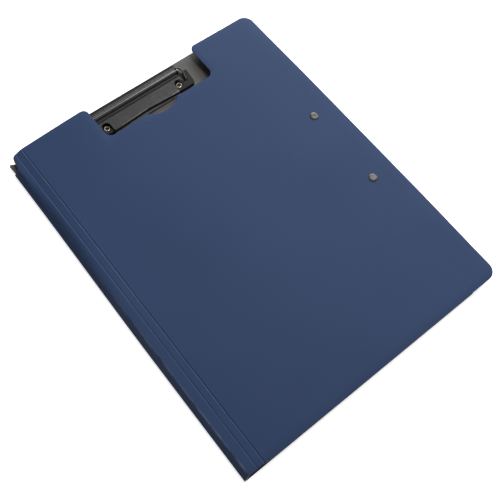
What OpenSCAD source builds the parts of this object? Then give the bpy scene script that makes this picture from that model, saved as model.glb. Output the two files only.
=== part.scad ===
// Foldover clipboard folder, A4, closed and lying on its back panel.
// X runs across the folder from the spine to the free edge, Y from the foot to the clip end, Z up.

/* [Sheet] */
// Length of the cover and the spine, from the foot to the clip end
sheet_l = 312; // [300:1:330]
// Width of the front cover, from its crease to the free edge
cover_w = 232; // [222:1:245]
// Width of the back panel, from its crease to the free edge
back_w = 232; // [222:1:245]
// How far the back panel sits below the cover, towards the foot
back_shift = 1; // [0:0.5:2]
// Thickness of the coloured outer ply
outer_t = 0.7; // [0.5:0.1:1]
// Thickness of the grey inner ply
inner_t = 0.7; // [0.5:0.1:0.8]
// Height of the cover above the back panel, face to face
closed_h = 8; // [7.6:0.1:8.4]
// Radius of the free corners
corner_r = 9; // [4:0.5:14]

/* [Spine] */
// Width of the spine strip beside the cover
upper_w = 6; // [5:0.5:9]
// Width of the middle spine strip
middle_w = 7.5; // [6:0.5:10]
// Width of the spine strip beside the back panel
lower_w = 8.8; // [8.6:0.1:11]
// Depth of the curved relief cut into the clip end of the spine
relief_d = 14; // [6:0.5:18]
// Thickness of the web left in each pressed crease
web_t = 0.3; // [0.2:0.05:0.4]

/* [Notch] */
// Distance from the cover's crease to the notch
notch_x = 61.3; // [55:0.1:61.5]
// Width of the notch
notch_w = 106.4; // [100:0.1:112]
// Depth of the notch, from the clip end of the cover
notch_d = 34.7; // [32:0.1:40]
// Radius of the notch's inner corners
notch_in_r = 6; // [3:0.5:9]
// Radius of the notch's outer corners
notch_out_r = 5; // [2:0.5:8]
// Width of the rounded finger cut-out
finger_w = 30; // [24:1:36]
// Depth of the finger cut-out below the notch
finger_d = 6; // [4:0.5:9]

/* [Clips] */
// Distance from the cover's crease to the middle of the top clip
clip_x = 103.5; // [103.4:0.1:106]
// Gap between the edge of a sheet and the rear edge of its clip
clip_inset = 1; // [0.2:0.1:2]
// Half the length of the jaw's roll
jaw_half = 41.6; // [38:0.1:41.6]
// Half the width of the jaw's lip
lip_half = 33; // [28:0.1:33]
// Half the width of the base plate over its ears
base_half = 49.3; // [49.2:0.1:52]
// Depth of the base plate, from its rear edge to its front edge
base_d = 28; // [27.6:0.1:30]
// Thickness of the stamped steel
steel_t = 0.8; // [0.6:0.1:0.8]
// Height of the ears above the sheet
ear_h = 3.2; // [2.6:0.1:3.2]
// Distance between the two rivets
rivet_pitch = 73.6; // [72:0.1:75]
// Distance from the rear edge of the clip to the rivets
rivet_y = 21; // [20.8:0.1:21.2]
// Diameter of the hinge rod
rod_d = 3.2; // [2.8:0.1:3.2]
// Diameter of the spring wire
wire_d = 1.5; // [1.2:0.1:1.5]

/* [Hidden] */
$fn = 32;
big = 400;

navy = [0.20, 0.26, 0.39];
warm_grey = [0.33, 0.32, 0.31];
black_steel = [0.16, 0.16, 0.17];
bare_steel = [0.62, 0.61, 0.59];

// Crease lines, numbered from the cover: X from crease 1, Z of the middle of the sheet
lean = asin(closed_h / lower_w);
crease1_x = 0;
crease2_x = crease1_x - upper_w;
crease3_x = crease2_x - middle_w;
crease4_x = crease3_x - lower_w * cos(lean);
low_z = outer_t;
high_z = low_z + closed_h;
total_t = outer_t + inner_t;

// Shape of a pressed crease: the plies are bevelled back from a thin web
bead_r = 0.3;
seat_r = bead_r + 0.02;
bevel_foot = 0.55;
bevel_top = 0.9;
bevel_wide = 1.3;
ply_lap = 0.2;

// The box of the whole folder is centred on the origin
x_mid = (cover_w + crease4_x - bead_r) / 2;
y_mid = back_shift / 2;
top_y = sheet_l / 2 + y_mid;
back_top_y = top_y - back_shift;
relief_run = lower_w + middle_w;
back_spur = 4;
back_slope = 15;

// Depth of the relief as a share of the whole, against the share of its run from crease 2 to crease 4
relief_shape = [
    [-0.37, 0], [-0.2, 0.02], [0, 0.07], [0.166, 0.13], [0.22, 0.18], [0.288, 0.27], [0.33, 0.36],
    [0.374, 0.46], [0.41, 0.55], [0.448, 0.62], [0.5, 0.69], [0.571, 0.76], [0.66, 0.83], [0.755, 0.9],
    [0.9, 0.97], [1, 1]
];

// Clip, in its own frame: X along its rear edge, Y forward, Z up from the sheet
roll_y = 8.8;
roll_z = 3.4;
roll_r = 2.5;
rod_r = rod_d / 2;
bore_r = rod_r + 0.08;
rod_chamfer = 0.4;

// Jaw: height of its plate, where its stamped groove and its front bend lie, and the thumb dip in that bend
plate_z = roll_z + 0.8;
groove_front = 15.6;
bend_y = base_d - 1.2;
dip_d = 1.4;
dip_half = 26;
dip_lean = atan(dip_d / dip_half);
plate_end = bend_y - dip_d - 1;
flange_z = steel_t + 0.5;
lip_y = bend_y + 2.5;

// Rod tabs
tab_gap = 0.7;
tab_x = jaw_half + tab_gap;
tab_r = 2.2;
tab_bore_r = rod_r + 0.04;
rod_half = tab_x + steel_t + 1.2;

// Base plate and its raised ears, which wrap round the slot that the spring wire runs in
rear_half = 45.4;
base_r = 2.5;
ear_in = 33.8;
ear_y = 11.5;
ear_arm_y = 21.8;
ear_rear_x = 48.6;
ear_back_half = 50.8;
slot_out = 45.6;
ear_bevel = 0.7;
pocket_r = 3.4;
pocket_gap = 0.4;

// Spring wire: behind the roll, in a bow round the rod's end, along the slot and down through the base plate
wire_r = wire_d / 2;
wire_sides = 16;
wire_z = roll_z;
wire_back_y = 5.2;
wire_bow_r = 6;
wire_bow_x = 41.3;
wire_sweep = 106;
wire_run = 7;
wire_drop_r = 1.2;
wire_swell = 0.03;
wire_seat = 0.1;
wire_foot_z = 0.2;
wire_hole_r = wire_r + 0.15;

// Tubular rivets
rivet_r = 1.5;
rivet_hole_r = rivet_r + 0.05;
rivet_bore_r = 1.1;
head_r = 4;
head_t = 0.5;
head_flat_r = 2.4;
dome_h = 1;
clinch_r = 2.5;
clinch_h = 0.8;
clinch_lip = 0.45;
clinch_in_r = 1.8;

// Places a solid drawn in the X, Z plane so that it runs the given length along Y
module along_y(length) {
    translate([0, length / 2, 0])
        rotate([90, 0, 0])
            linear_extrude(length)
                children();
}

// A corner to take away from a square corner at the origin, to leave a round one
module corner_cut(r) {
    difference() {
        translate([-1, -1])
            square([r + 1, r + 1]);
        translate([r, r])
            circle(r, $fn = 48);
    }
}

// Points of a ribbon of even thickness along a path
function unit(v) = v / norm(v);
function turned(v) = [-v[1], v[0]];
function side(p, i) =
    let (a = i > 0 ? unit(p[i] - p[i - 1]) : unit(p[1] - p[0]))
    let (b = i < len(p) - 1 ? unit(p[i + 1] - p[i]) : a)
    let (n = unit(turned(a) + turned(b)))
    n / (n * turned(b));
function ribbon(p, t) = concat(
    [for (i = [0 : len(p) - 1]) p[i] + side(p, i) * t / 2],
    [for (i = [len(p) - 1 : -1 : 0]) p[i] - side(p, i) * t / 2]
);

// Depth of the relief at a distance from the back panel's crease
function relief(s) = relief_d * lookup((relief_run - s) / relief_run, relief_shape);

// Profile of the outer ply, with the crease webs at its ends
module outer_profile(w, first, last) {
    polygon(concat(
        first
            ? [[bevel_foot + web_t / 2, 0], [bevel_foot, -web_t / 2], [0, -web_t / 2],
               [0, web_t / 2], [bevel_foot, web_t / 2], [bevel_top, outer_t]]
            : [[0, 0], [0, outer_t]],
        last
            ? [[w - bevel_top, outer_t], [w - bevel_foot, web_t / 2], [w, web_t / 2],
               [w, -web_t / 2], [w - bevel_foot, -web_t / 2], [w - bevel_foot - web_t / 2, 0]]
            : [[w, outer_t], [w, 0]]
    ));
}

// Profile of the inner ply, cut back from the webs
module inner_profile(w, first, last) {
    foot = bevel_foot + ply_lap;
    polygon([
        [first > 0 ? foot : 0, 0],
        [first, -inner_t],
        [w - last, -inner_t],
        [last > 0 ? w - foot : w, 0]
    ]);
}

// An outer ply between two creases: a round bead at its far end, a seat for one at its near end
module outer_ply(w, first, last) {
    difference() {
        union() {
            along_y(big) outer_profile(w, first, last);
            if (last)
                translate([w, 0, 0])
                    rotate([90, 0, 0])
                        cylinder(r = bead_r, h = big, center = true);
        }
        if (first)
            rotate([90, 0, 0])
                cylinder(r = seat_r, h = big + 2, center = true);
    }
}

module inner_ply(w, first, last) {
    along_y(big) inner_profile(w, first, last);
}

// Upright cutter with the outline of a panel
module cutter() {
    translate([0, 0, -5])
        linear_extrude(10)
            children();
}

// Outline of the back panel, with its crease on the right and the outer face up
module back_outline() {
    foot_y = back_top_y - sheet_l;
    difference() {
        translate([0, foot_y])
            square([back_w + 1, sheet_l]);
        translate([0, foot_y])
            corner_cut(corner_r);
        translate([0, back_top_y])
            mirror([0, 1]) corner_cut(corner_r);
        translate([back_w - bevel_foot, back_top_y - relief_d])
            square([2, relief_d + 1]);
        polygon([
            [back_w - back_slope, back_top_y + 1], [back_w - back_slope, back_top_y],
            [back_w - bevel_foot - 1, back_top_y - back_spur], [back_w, back_top_y - back_spur - 1.4],
            [back_w, back_top_y + 1]
        ]);
    }
}

// Outline of a spine strip, whose clip end follows the relief
module strip_outline(w, s0, foot_drop) {
    foot_y = top_y - sheet_l - foot_drop;
    steps = 14;
    polygon(concat(
        [[w + 1, foot_y], [-1, foot_y]],
        [for (i = [0 : steps])
            let (x = -1 + (w + 2) * i / steps)
            [x, top_y - relief(s0 + x)]]
    ));
}

module cover_outline() {
    foot_y = top_y - sheet_l;
    arc_r = (pow(finger_w / 2, 2) + pow(finger_d, 2)) / (2 * finger_d);
    difference() {
        translate([-1, foot_y])
            square([cover_w + 1, sheet_l]);
        translate([cover_w, foot_y])
            rotate(90) corner_cut(corner_r);
        translate([cover_w, top_y])
            rotate(180) corner_cut(corner_r);
        difference() {
            translate([notch_x, top_y - notch_d])
                square([notch_w, notch_d + 1]);
            translate([notch_x, top_y - notch_d])
                corner_cut(notch_in_r);
            translate([notch_x + notch_w, top_y - notch_d])
                rotate(90) corner_cut(notch_in_r);
        }
        translate([notch_x, top_y])
            rotate(180) corner_cut(notch_out_r);
        translate([notch_x + notch_w, top_y])
            rotate(-90) corner_cut(notch_out_r);
        translate([notch_x + notch_w / 2, top_y - notch_d - finger_d + arc_r])
            circle(arc_r, $fn = 96);
    }
}

// Where each panel lies when the folder is closed
module at_back() {
    translate([crease4_x - x_mid + back_w, 0, low_z])
        rotate([0, 180, 0])
            children();
}

module at_lower() {
    translate([crease4_x - x_mid, 0, low_z])
        rotate([0, -lean, 0])
            children();
}

module at_middle() {
    translate([crease3_x - x_mid, 0, high_z])
        children();
}

module at_upper() {
    translate([crease2_x - x_mid, 0, high_z])
        children();
}

module at_cover() {
    translate([crease1_x - x_mid, 0, high_z])
        children();
}

module at_top_clip() {
    translate([clip_x - x_mid, back_top_y - clip_inset, low_z + inner_t])
        rotate([0, 0, 180])
            children();
}

module at_inner_clip() {
    translate([cover_w - x_mid - clip_inset, y_mid, high_z - inner_t])
        rotate([180, 0, -90])
            children();
}

// Both rivets of a clip, in the clip's frame
module at_rivets() {
    for (s = [-1, 1])
        translate([s * rivet_pitch / 2, rivet_y, 0])
            children();
}

module rivet_holes() {
    at_rivets()
        translate([0, 0, -total_t - 1])
            cylinder(r = rivet_hole_r, h = total_t + 4);
}

// Recess that takes a flush rivet head into the outer ply
module head_recess() {
    at_rivets()
        translate([0, 0, -total_t - 1])
            cylinder(r = head_r + 0.1, h = head_t + 1.05);
}

module back_outer_ply() {
    color(navy)
        difference() {
            at_back()
                intersection() {
                    outer_ply(back_w, false, true);
                    cutter() back_outline();
                }
            at_top_clip() {
                rivet_holes();
                head_recess();
            }
        }
}

module back_inner_ply() {
    color(warm_grey)
        difference() {
            at_back()
                intersection() {
                    inner_ply(back_w, 0, bevel_wide);
                    cutter() back_outline();
                }
            at_top_clip() rivet_holes();
        }
}

module spine_lower_outer() {
    color(navy)
        at_lower()
            intersection() {
                outer_ply(lower_w, true, true);
                cutter() strip_outline(lower_w, 0, back_shift / 2);
            }
}

module spine_lower_inner() {
    color(warm_grey)
        at_lower()
            intersection() {
                inner_ply(lower_w, bevel_wide, bevel_top);
                cutter() strip_outline(lower_w, 0, back_shift / 2);
            }
}

module spine_middle_outer() {
    color(navy)
        at_middle()
            intersection() {
                outer_ply(middle_w, true, true);
                cutter() strip_outline(middle_w, lower_w, 0);
            }
}

module spine_middle_inner() {
    color(warm_grey)
        at_middle()
            intersection() {
                inner_ply(middle_w, bevel_top, bevel_top);
                cutter() strip_outline(middle_w, lower_w, 0);
            }
}

module spine_upper_outer() {
    color(navy)
        at_upper()
            intersection() {
                outer_ply(upper_w, true, true);
                cutter() strip_outline(upper_w, relief_run, 0);
            }
}

module spine_upper_inner() {
    color(warm_grey)
        at_upper()
            intersection() {
                inner_ply(upper_w, bevel_top, bevel_top);
                cutter() strip_outline(upper_w, relief_run, 0);
            }
}

module cover_outer_ply() {
    color(navy)
        difference() {
            at_cover()
                intersection() {
                    outer_ply(cover_w, true, false);
                    cutter() cover_outline();
                }
            at_inner_clip() rivet_holes();
        }
}

module cover_inner_ply() {
    color(warm_grey)
        difference() {
            at_cover()
                intersection() {
                    inner_ply(cover_w, bevel_top, 0);
                    cutter() cover_outline();
                }
            at_inner_clip() rivet_holes();
        }
}

// Plan of the raised ear on the right of a base plate, drawn in by a wall thickness
module ear_plan(t) {
    polygon([
        [ear_rear_x + t, ear_y + t * 1.5],
        [ear_back_half - t, ear_y + 1 + t],
        [base_half - t, base_d - t],
        [ear_in + t, base_d - t],
        [ear_in + t, ear_arm_y + t],
        [slot_out + t, ear_arm_y + t]
    ]);
}

// One raised ear, with a round pocket that leaves room for the rivet
module ear_shell() {
    difference() {
        linear_extrude(ear_h)
            ear_plan(0);
        translate([rivet_pitch / 2, rivet_y, steel_t])
            cylinder(r = pocket_r, h = ear_h);
        translate([0, base_d - ear_bevel, ear_h])
            rotate([-45, 0, 0])
                cube([ear_back_half + 1, 3, 3]);
    }
}

// Hollow of a pressed ear, open below, with a wall left round the rivet's pocket
module ear_hollow() {
    difference() {
        translate([0, 0, -1])
            linear_extrude(ear_h - steel_t + 1)
                ear_plan(steel_t);
        translate([rivet_pitch / 2, rivet_y, -2])
            cylinder(r = pocket_r + steel_t, h = ear_h + 4);
    }
}

function wire_end() = [
    wire_bow_x + wire_bow_r * sin(wire_sweep),
    wire_back_y + wire_bow_r - wire_bow_r * cos(wire_sweep)
];
function wire_heading() = [cos(wire_sweep), sin(wire_sweep)];
function wire_leg() = wire_end() + wire_heading() * (wire_run + wire_drop_r);

// Upright tab that carries one end of the hinge rod
module rod_tab() {
    translate([tab_x, roll_y, roll_z])
        rotate([0, 90, 0])
            cylinder(r = tab_r, h = steel_t);
    translate([tab_x, roll_y - tab_r, steel_t / 2])
        cube([steel_t, tab_r * 2, roll_z - steel_t / 2]);
}

module base_plate() {
    leg = wire_leg();
    difference() {
        union() {
            linear_extrude(steel_t) {
                translate([-rear_half, 0])
                    square([rear_half * 2, ear_y + 1]);
                polygon([
                    [-ear_rear_x, ear_y], [ear_rear_x, ear_y],
                    [ear_back_half, ear_y + 1], [base_half, base_d],
                    [-base_half, base_d], [-ear_back_half, ear_y + 1]
                ]);
            }
            for (s = [0, 1])
                mirror([s, 0, 0]) {
                    ear_shell();
                    rod_tab();
                }
        }
        for (s = [0, 1])
            mirror([s, 0, 0]) {
                ear_hollow();
                translate([leg[0], leg[1], -1])
                    cylinder(r = wire_hole_r, h = steel_t + 2);
                translate([base_half, base_d, -1])
                    linear_extrude(ear_h + 2)
                        rotate(180) corner_cut(base_r);
                translate([rear_half, 0, -1])
                    linear_extrude(steel_t + 2)
                        rotate(90) corner_cut(base_r);
            }
        translate([0, roll_y, roll_z])
            rotate([0, 90, 0])
                cylinder(r = tab_bore_r, h = rod_half * 3, center = true);
        at_rivets()
            translate([0, 0, -1])
                cylinder(r = rivet_hole_r, h = 4);
    }
}

// Sections of the jaw: from the roll through the groove, over the front bend, and the lip's flange
rear_path = [
    [roll_y + 1.9, roll_z - 0.9], [roll_y + 2.9, roll_z - 1.5], [roll_y + 3.9, roll_z - 1.5],
    [groove_front - 1.4, roll_z - 0.6], [groove_front - 0.6, plate_z - 0.3], [groove_front, plate_z],
    [plate_end, plate_z]
];
front_path = [
    [-dip_d - 2, plate_z], [0, plate_z], [0.7, plate_z - 0.3], [1, plate_z - 1.1], [1.2, steel_t + 0.75],
    [1.6, flange_z]
];
flange_path = [[bend_y - dip_d + 0.8, flange_z], [lip_y, flange_z]];

// A strip of the jaw's sheet with the given section, between two places along X
module jaw_strip(path, x0, x1) {
    translate([x1, 0, 0])
        rotate([90, 0, -90])
            linear_extrude(x1 - x0)
                mirror([1, 0]) polygon(ribbon(path, steel_t));
}

// Half of the front bend: straight at the end, and slanting back towards the middle for the thumb dip
module jaw_front() {
    translate([0, bend_y, 0])
        jaw_strip(front_path, dip_half - 0.1, lip_half);
    translate([dip_half, bend_y, 0])
        rotate([0, 0, dip_lean])
            jaw_strip(front_path, -dip_half - 0.2, 0);
}

// Plan of the jaw: full width behind the ears' arms, narrower in front, and hollowed round the rivets
module jaw_plan() {
    difference() {
        union() {
            translate([-jaw_half, 0])
                square([jaw_half * 2, ear_arm_y - pocket_gap]);
            translate([-lip_half, 0])
                square([lip_half * 2, base_d + 5]);
        }
        at_rivets() circle(pocket_r + pocket_gap);
    }
}

module jaw_plate() {
    difference() {
        union() {
            translate([0, roll_y, roll_z])
                rotate([0, 90, 0])
                    cylinder(r = roll_r, h = jaw_half * 2, center = true);
            intersection() {
                union() {
                    jaw_strip(rear_path, -jaw_half, jaw_half);
                    jaw_strip(flange_path, -lip_half, lip_half);
                    for (s = [0, 1])
                        mirror([s, 0, 0]) jaw_front();
                }
                linear_extrude(ear_h * 3)
                    jaw_plan();
            }
        }
        translate([0, roll_y, roll_z])
            rotate([0, 90, 0])
                cylinder(r = bore_r, h = jaw_half * 2 + 2, center = true);
    }
}

module hinge_rod() {
    translate([0, roll_y, roll_z])
        rotate([0, 90, 0])
            rotate_extrude()
                polygon([
                    [0, -rod_half], [rod_r - rod_chamfer, -rod_half], [rod_r, rod_chamfer - rod_half],
                    [rod_r, rod_half - rod_chamfer], [rod_r - rod_chamfer, rod_half], [0, rod_half]
                ]);
}

// A straight stretch of the wire along X, with its ends set into the bends beside it
module wire_straight(run) {
    translate([-wire_seat, 0, 0])
        rotate([0, 90, 0])
            cylinder(r = wire_r, h = run + wire_seat * 2, $fn = wire_sides);
}

// A bend of the wire about the origin, swollen a little as it comes from the bending tool
module wire_bend(r, sweep) {
    rotate_extrude(angle = sweep)
        translate([r, 0])
            circle(wire_r + wire_swell, $fn = wire_sides);
}

// One end of the spring wire: a bow round the rod's end, a short run and a leg down into the ear
module wire_arm() {
    end = wire_end();
    bend = end + wire_heading() * wire_run;
    leg = wire_leg();
    leg_z = wire_z - wire_drop_r;
    translate([wire_bow_x, wire_back_y + wire_bow_r, wire_z])
        rotate([0, 0, -90])
            wire_bend(wire_bow_r, wire_sweep);
    translate([end[0], end[1], wire_z])
        rotate([0, 0, wire_sweep])
            wire_straight(wire_run);
    translate([bend[0], bend[1], leg_z])
        rotate([90, 0, wire_sweep])
            wire_bend(wire_drop_r, 90);
    translate([leg[0], leg[1], wire_foot_z])
        cylinder(r = wire_r, h = leg_z - wire_foot_z + wire_seat, $fn = wire_sides);
}

module spring_wire() {
    translate([-wire_bow_x, wire_back_y, wire_z])
        wire_straight(wire_bow_x * 2);
    for (s = [0, 1])
        mirror([s, 0, 0])
            wire_arm();
}

// A tubular rivet: its head on the outer face, its rolled end on the base plate
module rivet(flush) {
    face = -total_t;
    rim = steel_t + clinch_h;
    head = flush
        ? [[0, face], [head_r, face], [head_r, face + head_t], [rivet_r, face + head_t]]
        : [[0, face - dome_h], [head_flat_r, face - dome_h], [head_r - 0.5, face - dome_h * 0.7],
           [head_r, face - dome_h * 0.25], [head_r, face], [rivet_r, face]];
    rotate_extrude()
        polygon(concat(head, [
            [rivet_r, steel_t], [clinch_r, steel_t], [clinch_r, rim - clinch_lip / 2],
            [clinch_r - clinch_lip, rim], [clinch_in_r, rim], [rivet_bore_r, steel_t - 0.3],
            [rivet_bore_r, face + 1], [0, face + 1]
        ]));
}

module top_clip_base() {
    color(black_steel) at_top_clip() base_plate();
}

module top_clip_jaw() {
    color(black_steel) at_top_clip() jaw_plate();
}

module top_clip_hinge_rod() {
    color(bare_steel) at_top_clip() hinge_rod();
}

module top_clip_spring() {
    color(black_steel) at_top_clip() spring_wire();
}

module top_clip_rivets() {
    color(bare_steel) at_top_clip() at_rivets() rivet(true);
}

module inner_clip_base() {
    color(black_steel) at_inner_clip() base_plate();
}

module inner_clip_jaw() {
    color(black_steel) at_inner_clip() jaw_plate();
}

module inner_clip_hinge_rod() {
    color(bare_steel) at_inner_clip() hinge_rod();
}

module inner_clip_spring() {
    color(black_steel) at_inner_clip() spring_wire();
}

module inner_clip_rivets() {
    color(bare_steel) at_inner_clip() at_rivets() rivet(false);
}

back_outer_ply();
back_inner_ply();
spine_lower_outer();
spine_lower_inner();
spine_middle_outer();
spine_middle_inner();
spine_upper_outer();
spine_upper_inner();
cover_outer_ply();
cover_inner_ply();
top_clip_base();
top_clip_jaw();
top_clip_hinge_rod();
top_clip_spring();
top_clip_rivets();
inner_clip_base();
inner_clip_jaw();
inner_clip_hinge_rod();
inner_clip_spring();
inner_clip_rivets();
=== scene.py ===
"""Looks, light and camera for a foldover clipboard folder, closed and lying on its back panel.

The sheet is made as one flat blank, cut at its creases and folded into place. The clips are the CAD's own
parts with new materials, except for their rivets, which are turned anew. Lengths are in millimetres up to the
point where a mesh is made. Those of the lamps and the camera are in metres.
"""
import math

import bmesh
import bpy
from mathutils import Matrix, Vector


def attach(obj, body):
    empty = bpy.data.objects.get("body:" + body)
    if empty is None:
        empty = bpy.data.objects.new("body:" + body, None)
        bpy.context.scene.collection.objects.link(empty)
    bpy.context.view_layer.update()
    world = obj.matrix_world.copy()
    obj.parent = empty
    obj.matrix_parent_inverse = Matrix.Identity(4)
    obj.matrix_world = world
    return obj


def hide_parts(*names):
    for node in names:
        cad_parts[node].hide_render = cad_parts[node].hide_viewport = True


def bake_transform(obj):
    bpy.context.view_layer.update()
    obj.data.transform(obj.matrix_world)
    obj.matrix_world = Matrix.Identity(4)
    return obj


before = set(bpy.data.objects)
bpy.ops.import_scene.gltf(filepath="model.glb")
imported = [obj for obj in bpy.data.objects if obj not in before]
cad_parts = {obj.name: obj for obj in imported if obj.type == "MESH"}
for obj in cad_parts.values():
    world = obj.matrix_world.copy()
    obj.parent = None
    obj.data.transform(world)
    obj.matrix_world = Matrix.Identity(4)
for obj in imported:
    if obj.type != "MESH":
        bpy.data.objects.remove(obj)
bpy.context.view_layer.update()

MM = 0.001

# The blank: s runs from the back panel over the spine to the cover, and y from the foot to the clip end
HALF_T = 0.7
BACK_END = -232.0
COVER_END = 254.3
TOP_Y = 156.5
BACK_TOP_Y = 155.5
SPINE_FOOT_Y = -155.5
COVER_FOOT_Y = -156.4
BACK_FOOT_Y = -156.5
UV_ZERO = (-240, -160)

# The fold: where the creases lie on the blank and in the closed folder, and which way each stretch runs
BODIES = ("back", "spine_lower", "spine_middle", "spine_upper", "cover")
CREASE_S = (0.0, 8.8, 16.3, 22.3)
CREASE_XZ = ((-124.433, 0.7), (-120.767, 8.7), (-113.267, 8.7), (-107.267, 8.7))
SPINE_RISE = 8
LEAN = math.degrees(math.asin(SPINE_RISE / CREASE_S[1]))
HEADINGS = (180.0, LEAN, 0.0, 0.0, 0.0)

# Half the width of the strip that bends at a crease, and half that of the skin laid across it
BEND_HALF = 0.9
SKIN_HALF = (1.5, 1.2, 1.2, 1.2)

# The folded sheet goes no further than this, also where it sags
LEFTMOST_X = -124.73
LOWEST_Z = 0.005

# The pressed lines at the creases, as (depth, half their width), on both faces of the sheet
PRESSED_OUTSIDE = ((0.34, 1.5), (0.15, 0.9), (0.22, 0.8), (0.34, 0.8))
PRESSED_INSIDE = ((0.55, 1.45), (0.42, 1.15), (0.34, 1.1), (0.34, 1.1))

# Pale lines beside the creases, as (s, half their width, strength, whether they fade towards the clip end).
# Those at s 22.0 and 15.9 are painted highlights on the lit wall of the pressed groove; the one at 8.7 is worn
# plastic.
CREASE_WEAR_AND_HIGHLIGHTS = ((22.0, 0.3, 0.2, False), (15.9, 0.3, 0.08, False), (8.7, 0.6, 0.95, True))

# How far the corners of the used cover sag
LEFT_CORNER_SAG = 2.2
RIGHT_CORNER_SAG = 1.3

# How the spine's clip end sags, as (how far, the y where it starts, the length over which it grows). The
# creases on both sides of the lower strip move square to the chords of their bends: by GIVE along CHORD_NORMAL,
# and by SLUMP along that line turned by a right angle. ROUNDING is a power that curves the middle strip.
GIVE = (1.75, -70, 200)
SLUMP = (3.8, -60, 190)
DROOP = (0.8, -20, 150)
CHORD_NORMAL = (0.842, 0.54)
ROUNDING = 0.55

# Clips: the local frame has X along the rear edge, Y forward and Z up from the sheet
RIVET_X = 36.8
RIVET_Y = 21.0
TOP_CLIP = Matrix(((-1, 0, 0, -3.767), (0, -1, 0, 154.5), (0, 0, 1, 1.4), (0, 0, 0, 1)))
INNER_CLIP = Matrix(((0, -1, 0, 123.733), (-1, 0, 0, 0.5), (0, 0, -1, 8.0), (0, 0, 0, 1)))
BROKEN_EDGE = 0.12


# ---- Materials

def rgba(value):
    """A colour, or a grey from a single number, with full alpha."""
    return (*value, 1) if hasattr(value, "__len__") else (value, value, value, 1)


class Shader:
    """A material with a Principled surface and short ways to add nodes to it."""

    def __init__(self, name, **values):
        self.material = bpy.data.materials.new(name)
        self.material.use_nodes = True
        self.tree = self.material.node_tree
        self.surface = self.tree.nodes["Principled BSDF"]
        for socket, value in values.items():
            self.surface.inputs[socket.replace("_", " ")].default_value = value

    def add(self, kind, links=(), **values):
        """A new node, with its settings and plain socket values from keywords."""
        node = self.tree.nodes.new("ShaderNode" + kind)
        for name, value in values.items():
            if hasattr(node, name):
                setattr(node, name, value)
            else:
                node.inputs[name.replace("_", " ")].default_value = value
        for socket, source in dict(links).items():
            self.tree.links.new(source, node.inputs[socket])
        return node

    def put(self, socket, value):
        """Links a socket to an output, or sets it to a number."""
        if hasattr(value, "default_value"):
            self.tree.links.new(value, socket)
        else:
            socket.default_value = value

    def feed(self, source, socket):
        self.tree.links.new(source, self.surface.inputs[socket])

    def ramp(self, source, stops):
        node = self.add("ValToRGB", {"Fac": source})
        for element, (place, value) in zip(node.color_ramp.elements, stops):
            element.position = place
            element.color = rgba(value)
        return node.outputs["Color"]

    def noise(self, vector, scale, detail, roughness=0.5):
        node = self.add("TexNoise", {"Vector": vector}, Scale=scale, Detail=detail, Roughness=roughness)
        return node.outputs["Fac"]

    def stretched(self, vector, scale):
        return self.add("Mapping", {"Vector": vector}, Scale=scale).outputs["Vector"]

    def bump(self, layers):
        """Bumps stacked on one another, from (height, distance in mm, strength)."""
        normal = None
        for height, distance, strength in layers:
            node = self.add("Bump", {"Height": height}, Distance=distance * MM, Strength=strength)
            if normal is not None:
                self.tree.links.new(normal, node.inputs["Normal"])
            normal = node.outputs["Normal"]
        self.feed(normal, "Normal")

    def math(self, operation, a, b):
        node = self.add("Math", operation=operation)
        for socket, value in zip(node.inputs, (a, b)):
            self.put(socket, value)
        return node.outputs[0]

    def mixed(self, a, share_a, b, share_b):
        return self.math("ADD", self.math("MULTIPLY", a, share_a), self.math("MULTIPLY", b, share_b))

    def blend_colour(self, fac, under, over):
        """Lays a plain colour over a colour output."""
        node = self.add("Mix", data_type="RGBA")
        sockets = {s.name: s for s in node.inputs if s.enabled}
        self.put(sockets["Factor"], fac)
        self.put(sockets["A"], under)
        self.put(sockets["B"], rgba(over))
        return next(s for s in node.outputs if s.enabled)


def polypropylene(name, dark, light, worn_and_lit, roughness, specular):
    """Matte embossed plastic sheet: a fine sand grain, faint clouding, and paler crease lines, one worn and two
    painted highlights.
    """
    m = Shader(name, Roughness=roughness, Specular_IOR_Level=specular)
    where = m.add("UVMap", uv_map="sheet").outputs["UV"]
    clouds = m.noise(where, 9, 3)
    grain = m.noise(where, 1500, 2, 0.6)
    fibres = m.noise(m.stretched(where, (260, 30, 1)), 1, 3)
    colour = m.ramp(m.mixed(clouds, 0.6, grain, 0.4), ((0.3, dark), (0.7, light)))
    along, across = m.add("SeparateXYZ", {"Vector": where}).outputs[:2]
    footward = m.ramp(across, ((0.03, 1.0), (0.2, 0.2)))
    wear_and_highlight = None
    # The pale lines at s 22.0 and 15.9 are painted highlights on a lit groove wall; the one at 8.7 is worn
    # plastic.
    for crease, half_width, strength, fades in CREASE_WEAR_AND_HIGHLIGHTS:
        gap = m.math("ABSOLUTE", m.math("SUBTRACT", along, (crease - UV_ZERO[0]) * MM), 0)
        line = m.math("MULTIPLY", m.math("LESS_THAN", gap, half_width * MM), strength)
        if fades:
            line = m.math("MULTIPLY", line, footward)
        wear_and_highlight = line if wear_and_highlight is None else m.math("MAXIMUM", wear_and_highlight, line)
    patchy = m.ramp(m.noise(where, 60, 3), ((0.35, 0.0), (0.55, 1.0)))
    m.feed(m.blend_colour(m.math("MULTIPLY", wear_and_highlight, patchy), colour, worn_and_lit), "Base Color")
    m.feed(m.ramp(m.noise(where, 700, 2), ((0.3, roughness - 0.05), (0.7, roughness + 0.07))), "Roughness")
    m.bump(((fibres, 0.05, 0.25), (grain, 0.05, 0.5)))
    return m.material


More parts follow.
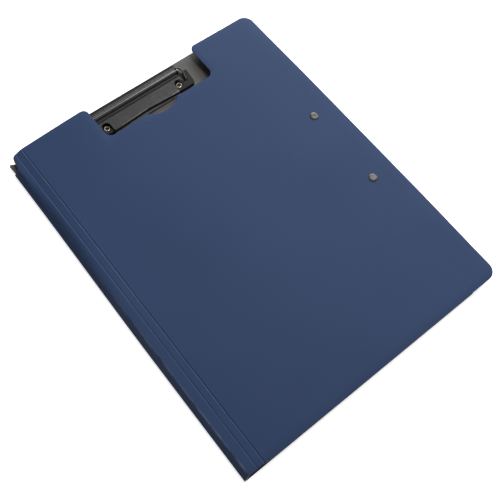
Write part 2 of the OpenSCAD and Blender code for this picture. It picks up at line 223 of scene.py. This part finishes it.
def black_enamel(name, base, roughness, specular):
    """Stoved black paint on pressed steel, with a slight orange peel and dust in its pores."""
    m = Shader(name, Specular_IOR_Level=specular)
    where = m.add("TexCoord").outputs["Object"]
    peel = m.noise(where, 900, 2)
    fine = m.noise(where, 2600, 1)
    tone = m.mixed(m.noise(where, 60, 3), 0.5, fine, 0.5)
    dark, light = (tuple(factor * c for c in base) for factor in (0.9, 1.1))
    m.feed(m.ramp(tone, ((0.3, dark), (0.7, light))), "Base Color")
    m.feed(m.ramp(peel, ((0.3, roughness - 0.05), (0.7, roughness + 0.08))), "Roughness")
    m.bump(((peel, 0.006, 0.12), (fine, 0.006, 0.15)))
    return m.material


def metal(name, dark, light, roughness):
    """Bare or plated metal with fine brushing and stains."""
    m = Shader(name, Metallic=1.0)
    where = m.add("TexCoord").outputs["Object"]
    brushed = m.noise(m.stretched(where, (0.08, 1, 1)), 900, 3)
    stain = m.noise(where, 150, 3)
    m.feed(m.ramp(stain, ((0.35, dark), (0.65, light))), "Base Color")
    m.feed(m.ramp(brushed, ((0.3, roughness - 0.06), (0.7, roughness + 0.1))), "Roughness")
    m.bump(((brushed, 0.01, 0.3),))
    return m.material


NAVY = polypropylene(
    "navy_polypropylene", dark=(0.0205, 0.0365, 0.082), light=(0.026, 0.044, 0.096), worn_and_lit=(0.09, 0.12, 0.20),
    roughness=0.55, specular=0.05)
GREY = polypropylene(
    "grey_polypropylene", dark=(0.064, 0.062, 0.059), light=(0.079, 0.075, 0.071), worn_and_lit=(0.12, 0.115, 0.11),
    roughness=0.55, specular=0.12)
# The cut edge is paler than the faces: its paler colour is a painted highlight along the sheet's rounded edges.
EDGE = polypropylene(
    "cut_edge", dark=(0.030, 0.046, 0.095), light=(0.040, 0.058, 0.115), worn_and_lit=(0.12, 0.15, 0.22),
    roughness=0.4, specular=0.3)
JAW = black_enamel("jaw_enamel", (0.013, 0.013, 0.014), roughness=0.2, specular=0.4)
# The base's enamel is darker than the jaw's: its darker colour is painted shade for the darker tops of the
# base's ears.
BASE = black_enamel("base_enamel", (0.007, 0.007, 0.008), roughness=0.45, specular=0.08)
WIRE = black_enamel("black_wire", (0.008, 0.008, 0.009), roughness=0.3, specular=0.3)
HEAD = black_enamel("black_rivet_head", (0.008, 0.008, 0.010), roughness=0.3, specular=0.4)
ROD = metal("bare_rod", (0.16, 0.155, 0.15), (0.24, 0.235, 0.23), roughness=0.35)
NICKEL = metal("rivet_nickel", (0.30, 0.26, 0.22), (0.46, 0.42, 0.37), roughness=0.25)
BORE = metal("rivet_bore", (0.10, 0.045, 0.025), (0.18, 0.08, 0.045), roughness=0.5)

# Places in the sheet's and the rivets' material slots
OUTSIDE, INSIDE, CUT = 0, 1, 2
BLACK, BRIGHT, BROWN = 0, 1, 2


# ---- Meshes

SHARP_ANGLE = math.radians(32)


def finish_mesh(name, bm, materials):
    """Turns a bmesh in millimetres into a smooth-shaded object in metres."""
    mesh = bpy.data.meshes.new(name)
    bmesh.ops.recalc_face_normals(bm, faces=bm.faces)
    bmesh.ops.scale(bm, vec=(MM, MM, MM), verts=bm.verts)
    for face in bm.faces:
        face.smooth = True
    bm.to_mesh(mesh)
    bm.free()
    for material in materials:
        mesh.materials.append(material)
    mesh.set_sharp_from_angle(angle=SHARP_ANGLE)
    obj = bpy.data.objects.new(name, mesh)
    bpy.context.scene.collection.objects.link(obj)
    return obj


def arc(cx, cy, r, start, end, steps=10):
    """Points on an arc between two angles in degrees."""
    turn = [math.radians(start + (end - start) * i / steps) for i in range(steps + 1)]
    return [(cx + r * math.cos(a), cy + r * math.sin(a)) for a in turn]


def spline(points, steps=4):
    """Points of a smooth curve through the given ones."""
    padded = [points[0], *points, points[-1]]
    out = []
    for p0, p1, p2, p3 in zip(padded, padded[1:], padded[2:], padded[3:]):
        for i in range(steps):
            t = i / steps
            out.append(tuple(
                0.5 * (2 * b + (c - a) * t + (2 * a - 5 * b + 4 * c - d) * t * t
                       + (3 * b - a - 3 * c + d) * t ** 3)
                for a, b, c, d in zip(p0, p1, p2, p3)))
    return out + [points[-1]]


# The relief at the spine's clip end, and the small spur of the back panel beside it
RELIEF = [
    (62.0, TOP_Y), (40.0, 156.3), (26.0, 156.0), (21.0, 155.8), (16.3, 155.0), (13.6, 154.0), (11.8, 152.2),
    (10.7, 149.6), (10.1, 147.0), (9.4, 144.4), (8.2, 142.0), (5.5, 141.0), (2.0, 141.1), (-0.9, 141.4)]
SPUR = [
    (-0.45, 150.4), (-0.75, 151.1), (-1.4, 151.4), (-2.6, 151.1), (-4.4, 149.9), (-6.5, 149.8), (-9.0, 151.5),
    (-16.0, BACK_TOP_Y)]


def blank_outline():
    """Outline of the flat blank, anticlockwise with the outer face up."""
    corner = 9.0
    notch_left, notch_right, notch_y = 83.8, 190.6, TOP_Y - 34.9
    inner_r, outer_r = 6.0, 5.0
    finger_r, finger_half, finger_rise = 21.75, 15, 15.75
    finger_s, finger_y = (notch_left + notch_right) / 2, notch_y + finger_rise
    chord = math.degrees(math.asin(finger_half / finger_r))
    return (
        arc(BACK_END + corner, BACK_FOOT_Y + corner, corner, 180, 270)
        + [(-2.0, BACK_FOOT_Y), (CREASE_S[1], SPINE_FOOT_Y), (20.0, SPINE_FOOT_Y), (29.0, COVER_FOOT_Y)]
        + arc(COVER_END - corner, COVER_FOOT_Y + corner, corner, 270, 360)
        + arc(COVER_END - corner, TOP_Y - corner, corner, 0, 90)
        + arc(notch_right + outer_r, TOP_Y - outer_r, outer_r, 90, 180, 8)
        + arc(notch_right - inner_r, notch_y + inner_r, inner_r, 0, -90, 8)
        + arc(finger_s, finger_y, finger_r, chord - 90, -90 - chord, 16)
        + arc(notch_left + inner_r, notch_y + inner_r, inner_r, -90, -180, 8)
        + arc(notch_left - outer_r, TOP_Y - outer_r, outer_r, 0, 90, 8)
        + [(s, min(y, TOP_Y)) for s, y in spline(RELIEF)]
        + spline(SPUR)
        + arc(BACK_END + corner, BACK_TOP_Y - corner, corner, 90, 180)
    )


def inset(outline, distance):
    """The outline drawn in, along the bisectors of its corners."""
    points = [Vector(p) for p in outline]
    count = len(points)
    out = []
    for i, p in enumerate(points):
        a = (p - points[i - 1]).normalized()
        b = (points[(i + 1) % count] - p).normalized()
        inward = Vector((-a.y - b.y, a.x + b.x)).normalized()
        out.append(p + inward * distance / max(0.5, inward.dot(Vector((-b.y, b.x)))))
    return out


def cut(bm, s=None, y=None, clear_below=False, clear_above=False):
    """Cuts the blank along a line of constant s or y, and may clear one side of it."""
    place, normal = ((s, 0, 0), (1, 0, 0)) if y is None else ((0, y, 0), (0, 1, 0))
    bmesh.ops.bisect_plane(
        bm, geom=bm.verts[:] + bm.edges[:] + bm.faces[:], dist=1e-5, plane_co=place, plane_no=normal,
        clear_inner=clear_below, clear_outer=clear_above)


def ease(t):
    t = min(1.0, max(0.0, t))
    return t * t * (3 - 2 * t)


def rise(value, start, length):
    """0 up to start, 1 after start + length, and smooth between them."""
    return ease((value - start) / length)


def nearest_crease(s):
    return min(range(4), key=lambda i: abs(s - CREASE_S[i]))


def sheet_height(s, outer):
    """Distance of a face from the middle of the sheet, less at the pressed creases."""
    crease = nearest_crease(s)
    depth, reach = (PRESSED_OUTSIDE if outer else PRESSED_INSIDE)[crease]
    return HALF_T - depth * (1 - rise(abs(s - CREASE_S[crease]), 0, reach))


def lift(s, y):
    """How far the cover and the spine's top lie off their plane: three corners sag."""
    left = LEFT_CORNER_SAG * (1 - rise(s, CREASE_S[2], 75)) * rise(y, 70, 80)
    right = RIGHT_CORNER_SAG * rise(s, 165, 85) * max(rise(y, 60, 90), rise(-y, 60, 90))
    return -(left + right)


def settle(s, y):
    """How far a point of the used folder lies off the plain fold, as (x, z)."""
    give, slump, droop = (most * rise(y, start, length) for most, start, length in (GIVE, SLUMP, DROOP))
    if s >= CREASE_S[2]:
        return 0.0, lift(s, y) - droop * (1 - rise(s, CREASE_S[2], 7))
    nx, nz = CHORD_NORMAL
    knots = (
        (BACK_END, 0, 0), (-24.0, 0, 0), (CREASE_S[0], nx * give, nz * give),
        (CREASE_S[1], nz * slump, -nx * slump), (CREASE_S[2], 0, lift(CREASE_S[2], y) - droop))
    for (s0, x0, z0), (s1, x1, z1) in zip(knots, knots[1:]):
        if s <= s1:
            t = (s - s0) / (s1 - s0)
            t = ease(t ** ROUNDING if s0 == CREASE_S[1] else t)
            return x0 + (x1 - x0) * t, z0 + (z1 - z0) * t


def folded(s, y, z):
    """Place in the closed folder of a point of the flat blank."""
    crease = nearest_crease(s)
    d = s - CREASE_S[crease]
    turned = rise(d, -BEND_HALF, 2 * BEND_HALF)
    heading = math.radians(HEADINGS[crease] + (HEADINGS[crease + 1] - HEADINGS[crease]) * turned)
    x0, z0 = CREASE_XZ[crease]
    aside, up = settle(s, y)
    return Vector((
        max(x0 + d * math.cos(heading) - z * math.sin(heading) + aside, LEFTMOST_X), y,
        max(z0 + d * math.sin(heading) + z * math.cos(heading) + up, LOWEST_Z)))


def flat_blank():
    """The whole sheet before folding, with rounded cut edges and pressed creases."""
    bm = bmesh.new()
    outline = blank_outline()
    count = len(outline)

    # The cut edge from the inner to the outer face, as (inset, share of half the thickness, material)
    section = (
        (0.28, -1.0, INSIDE), (0.10, -0.93, INSIDE), (0.0, -0.75, INSIDE), (0.0, 0.0, CUT),
        (0.0, 0.75, OUTSIDE), (0.10, 0.93, OUTSIDE), (0.28, 1.0, OUTSIDE))
    rings = []
    for inward, height, _ in section:
        rings.append([bm.verts.new((p.x, p.y, height * HALF_T)) for p in inset(outline, inward)])
    for (_, _, material), ring, above in zip(section, rings, rings[1:]):
        for i in range(count):
            j = (i + 1) % count
            bm.faces.new((ring[i], ring[j], above[j], above[i])).material_index = material
    bm.faces.new(rings[-1]).material_index = OUTSIDE
    bm.faces.new(rings[0][::-1]).material_index = INSIDE

    # Lines close together at the creases, and 12 mm apart elsewhere, clear of the outline's own points
    for crease in CREASE_S:
        for i in range(-10, 11):
            cut(bm, s=crease + i * 0.15)
    for s in range(-224, 250, 12):
        if abs(s) > 24:
            cut(bm, s=s + 0.37)
    for y in range(-150, 156, 12):
        cut(bm, y=y + 0.41)
    for v in bm.verts:
        v.co.z *= sheet_height(v.co.x, v.co.z > 0) / HALF_T
    uv = bm.loops.layers.uv.new("sheet")
    for face in bm.faces:
        for loop in face.loops:
            s, y, _ = loop.vert.co
            loop[uv].uv = ((s - UV_ZERO[0]) * MM, (y - UV_ZERO[1]) * MM)
    return bm


def sheet_piece(name, blank, low, high):
    """One stretch of the blank between two values of s, closed at its ends and folded into place."""
    bm = blank.copy()
    if low is not None:
        cut(bm, s=low, clear_below=True)
    if high is not None:
        cut(bm, s=high, clear_above=True)
    bmesh.ops.holes_fill(bm, edges=[e for e in bm.edges if e.is_boundary], sides=0)
    for v in bm.verts:
        v.co = folded(*v.co)
    return finish_mesh(name, bm, (NAVY, GREY, EDGE))


def make_sheet():
    """The five stiff stretches of the sheet, and the four skins that bend at its creases."""
    blank = flat_blank()
    ends = [None]
    for crease, half in zip(CREASE_S, SKIN_HALF):
        ends += [crease - half, crease + half]
    ends.append(None)
    nodes = (
        ("back_outer_ply", "back_inner_ply"), ("spine_lower_outer", "spine_lower_inner"),
        ("spine_middle_outer", "spine_middle_inner"), ("spine_upper_outer", "spine_upper_inner"),
        ("cover_outer_ply", "cover_inner_ply"))
    for i, body in enumerate(BODIES):
        piece = sheet_piece(f"{body}_sheet", blank, ends[2 * i], ends[2 * i + 1])
        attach(piece, body)
        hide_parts(*nodes[i])
    for i, half in enumerate(SKIN_HALF):
        piece = sheet_piece(f"crease_{4 - i}", blank, CREASE_S[i] - half, CREASE_S[i] + half)
        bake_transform(piece)
    blank.free()


make_sheet()


# ---- Clips

def dress(node, material, bevel=0.0):
    """Gives a CAD node its material, and breaks its sharp edges."""
    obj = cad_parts[node]
    obj.data.materials.clear()
    obj.data.materials.append(material)
    if bevel:
        modifier = obj.modifiers.new("broken_edges", "BEVEL")
        modifier.width = bevel * MM
        modifier.segments = 2
        modifier.limit_method = "ANGLE"
        modifier.angle_limit = math.radians(35)


def lathe(name, profile, places, materials, segments=48):
    """A turned piece about Z at each place, from points (r, z, material of the band that starts there)."""
    bm = bmesh.new()
    for place in places:
        rings = []
        for r, z, _ in profile:
            turn = [2 * math.pi * i / segments for i in range(segments)] if r > 1e-6 else [0.0]
            rings.append([bm.verts.new(place @ Vector((r * math.cos(a), r * math.sin(a), z))) for a in turn])
        for (_, _, band), a, b in zip(profile, rings, rings[1:]):
            for i in range(segments):
                j = (i + 1) % segments
                corners = [a[i % len(a)], a[j % len(a)], b[j % len(b)], b[i % len(b)]]
                bm.faces.new(list(dict.fromkeys(corners))).material_index = band
    return finish_mesh(name, bm, materials)


# Rivets: the shank under the head, then the rolled end with its ring and its bore
ROLLED_END = [
    (1.5, -1.4, BRIGHT), (1.5, 0.8, BRIGHT), (2.46, 0.8, BRIGHT), (2.5, 0.88, BRIGHT), (2.5, 1.12, BRIGHT),
    (2.43, 1.36, BRIGHT), (2.28, 1.53, BRIGHT), (2.08, 1.6, BRIGHT), (1.88, 1.57, BROWN), (1.70, 1.44, BROWN),
    (1.50, 1.18, BROWN), (1.30, 0.84, BROWN), (1.16, 0.45, BROWN), (1.1, 0.0, BROWN), (1.1, -0.4, BROWN),
    (0.0, -0.4, BROWN)]
FLUSH_HEAD = [
    (0.0, -1.4, BLACK), (3.86, -1.4, BLACK), (4.0, -1.3, BLACK), (4.0, -0.9, BLACK), (1.5, -0.9, BRIGHT)]
DOMED_HEAD = [
    (0.0, -2.4, BLACK), (1.1, -2.39, BLACK), (2.1, -2.3, BLACK), (2.9, -2.12, BLACK), (3.5, -1.88, BLACK),
    (3.85, -1.63, BLACK), (4.0, -1.42, BLACK), (3.98, -1.4, BLACK)]
CLIPS = (("top_clip", TOP_CLIP, "back", FLUSH_HEAD), ("inner_clip", INNER_CLIP, "cover", DOMED_HEAD))

for prefix, placement, body, head in CLIPS:
    dress(prefix + "_base", BASE, BROKEN_EDGE)
    dress(prefix + "_jaw", JAW, BROKEN_EDGE)
    dress(prefix + "_hinge_rod", ROD)
    dress(prefix + "_spring", WIRE)
    places = [placement @ Matrix.Translation((side * RIVET_X, RIVET_Y, 0)) for side in (-1, 1)]
    rivets = lathe(prefix + "_tubular_rivets", head + ROLLED_END, places, (HEAD, NICKEL, BORE))
    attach(rivets, body)
    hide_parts(prefix + "_rivets")


# ---- Studio

AMBIENT = 0.15
FLOOR_HALF = 1500
FLOOR_DROP = 0.3
FLOOR_GREY = 0.8
FLOOR_GLOW = 0.72

# Softboxes, all aimed at the origin: place and size in metres, and power in watts
SOFTBOXES = (
    ("top_softbox", (0.45, 0.19, 1.05), (0.8, 0.4), 10),
    ("key_softbox", (0.98, 0.12, 0.68), (0.6, 0.6), 8.5),
    ("rear_softbox", (0.9, 1.0, 0.6), (0.9, 0.5), 18))

# The photograph's camera: its place in metres, its axes, and its lens for a sensor 36 mm wide
CAMERA_PLACE = (-0.17782, -0.18450, 0.52135)
CAMERA_RIGHT = Vector((0.78046, -0.62298, 0.05271))
CAMERA_UP = Vector((0.55490, 0.72907, 0.40068))
CAMERA_FORWARD = Vector((0.28804, 0.28347, -0.91470))
CAMERA_LENS = 52.55


def show_background(tree, lit, shown, output):
    """Shows one shader to the camera and in reflections, and uses the other one as a source of light."""
    path = tree.nodes.new("ShaderNodeLightPath")
    seen = path.outputs["Is Camera Ray"]
    for ray in ("Is Glossy Ray", "Is Transmission Ray"):
        most = tree.nodes.new("ShaderNodeMath")
        most.operation = "MAXIMUM"
        tree.links.new(seen, most.inputs[0])
        tree.links.new(path.outputs[ray], most.inputs[1])
        seen = most.outputs[0]
    mix = tree.nodes.new("ShaderNodeMixShader")
    tree.links.new(seen, mix.inputs[0])
    tree.links.new(lit, mix.inputs[1])
    tree.links.new(shown, mix.inputs[2])
    tree.links.new(mix.outputs[0], tree.nodes[output].inputs[0])


def make_world():
    world = bpy.data.worlds.new("studio")
    bpy.context.scene.world = world
    world.use_nodes = True
    tree = world.node_tree
    ambient = tree.nodes["Background"]
    ambient.inputs["Color"].default_value = rgba(1.0)
    ambient.inputs["Strength"].default_value = AMBIENT
    white = tree.nodes.new("ShaderNodeBackground")
    white.inputs["Color"].default_value = rgba(1.0)
    show_background(tree, ambient.outputs[0], white.outputs[0], "World Output")


def make_floor():
    """A pale floor that glows just enough to look white, and keeps the object's shadow."""
    bm = bmesh.new()
    bmesh.ops.create_grid(bm, x_segments=1, y_segments=1, size=FLOOR_HALF)
    bmesh.ops.translate(bm, vec=(0, 0, -FLOOR_DROP), verts=bm.verts)
    material = bpy.data.materials.new("studio_floor")
    material.use_nodes = True
    tree = material.node_tree
    tree.nodes.remove(tree.nodes["Principled BSDF"])
    paper = tree.nodes.new("ShaderNodeBsdfDiffuse")
    paper.inputs["Color"].default_value = rgba(FLOOR_GREY)
    glow = tree.nodes.new("ShaderNodeEmission")
    glow.inputs["Strength"].default_value = FLOOR_GLOW
    shown = tree.nodes.new("ShaderNodeAddShader")
    tree.links.new(paper.outputs[0], shown.inputs[0])
    tree.links.new(glow.outputs[0], shown.inputs[1])
    show_background(tree, paper.outputs[0], shown.outputs[0], "Material Output")
    finish_mesh("studio_floor", bm, (material,))


def softbox(name, place, size, power):
    lamp = bpy.data.lights.new(name, "AREA")
    lamp.shape = "RECTANGLE"
    lamp.size, lamp.size_y = size
    lamp.energy = power
    obj = bpy.data.objects.new(name, lamp)
    obj.location = place
    obj.rotation_mode = "QUATERNION"
    obj.rotation_quaternion = (-Vector(place)).to_track_quat("-Z", "Y")
    bpy.context.scene.collection.objects.link(obj)


def make_camera():
    data = bpy.data.cameras.new("photo_camera")
    data.sensor_width = 36
    data.lens = CAMERA_LENS
    data.clip_start = 0.01
    camera = bpy.data.objects.new("photo_camera", data)
    camera.location = CAMERA_PLACE
    camera.rotation_mode = "QUATERNION"
    axes = Matrix((CAMERA_RIGHT, CAMERA_UP, -CAMERA_FORWARD)).transposed()
    camera.rotation_quaternion = axes.to_quaternion()
    bpy.context.scene.collection.objects.link(camera)
    bpy.context.scene.camera = camera


make_world()
make_floor()
for settings in SOFTBOXES:
    softbox(*settings)
make_camera()
bpy.context.scene.view_settings.view_transform = "Standard"
